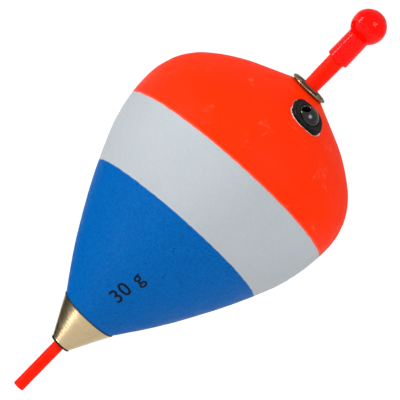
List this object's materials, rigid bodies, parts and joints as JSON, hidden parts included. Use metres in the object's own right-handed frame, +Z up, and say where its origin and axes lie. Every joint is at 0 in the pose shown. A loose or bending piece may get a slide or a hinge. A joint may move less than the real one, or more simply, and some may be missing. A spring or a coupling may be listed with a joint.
{
  "type": "bobber float",
  "caption": "Pear-shaped line-through fishing float with a ball-tipped peg, a swivelling line eye and a metal cone at its foot",
  "frame": {"origin": "middle of the lower end of the peg, on the float's axis", "axes": "+Z up the float's axis to the ball cap; the line guide in the shoulder faces -Y; +X completes a right-handed set"},
  "size_m": [0.042, 0.042, 0.0882],
  "materials": {
    "painted_foam": "satin",
    "clear_liner": "satin",
    "aged_brass": "satin",
    "grey_rubber": "matte",
    "turned_brass": "satin",
    "black_moulding": "satin",
    "black_bead": "gloss",
    "orange_plastic": "matte",
    "red_cap": "gloss"
  },
  "bodies": {
    "float_body": {"foam_body": "painted_foam", "bore_liner": "clear_liner", "line_tube": "clear_liner", "top_eyelet": "aged_brass", "ballast_cone": "turned_brass", "lower_bush": "black_moulding", "guide_housing": "black_moulding"},
    "swivel_bead": {"guide_bead": "black_bead"},
    "ring": {"stop_ring": "grey_rubber"},
    "peg": {"peg": "orange_plastic"},
    "cap": {"ball_cap": "red_cap"}
  },
  "joints": [
    {"name": "bead_swivel", "type": "hinge", "parent": "float_body", "child": "swivel_bead", "pos_m": [0, -0.00796, 0.06765], "axis": [0, 0.9107, 0.4131], "range_deg": [0, 80]},
    {"name": "peg_turn", "type": "hinge", "parent": "float_body", "child": "ring", "pos_m": [0, 0, 0.07057], "axis": [0, 0, 1], "continuous": true},
    {"name": "peg_slide", "type": "slide", "parent": "ring", "child": "peg", "axis": [0, 0, 1], "range_m": [0, 0.055]},
    {"name": "cap_pull", "type": "slide", "parent": "peg", "child": "cap", "axis": [0, 0, 1], "range_m": [0, 0.006]}
  ]
}
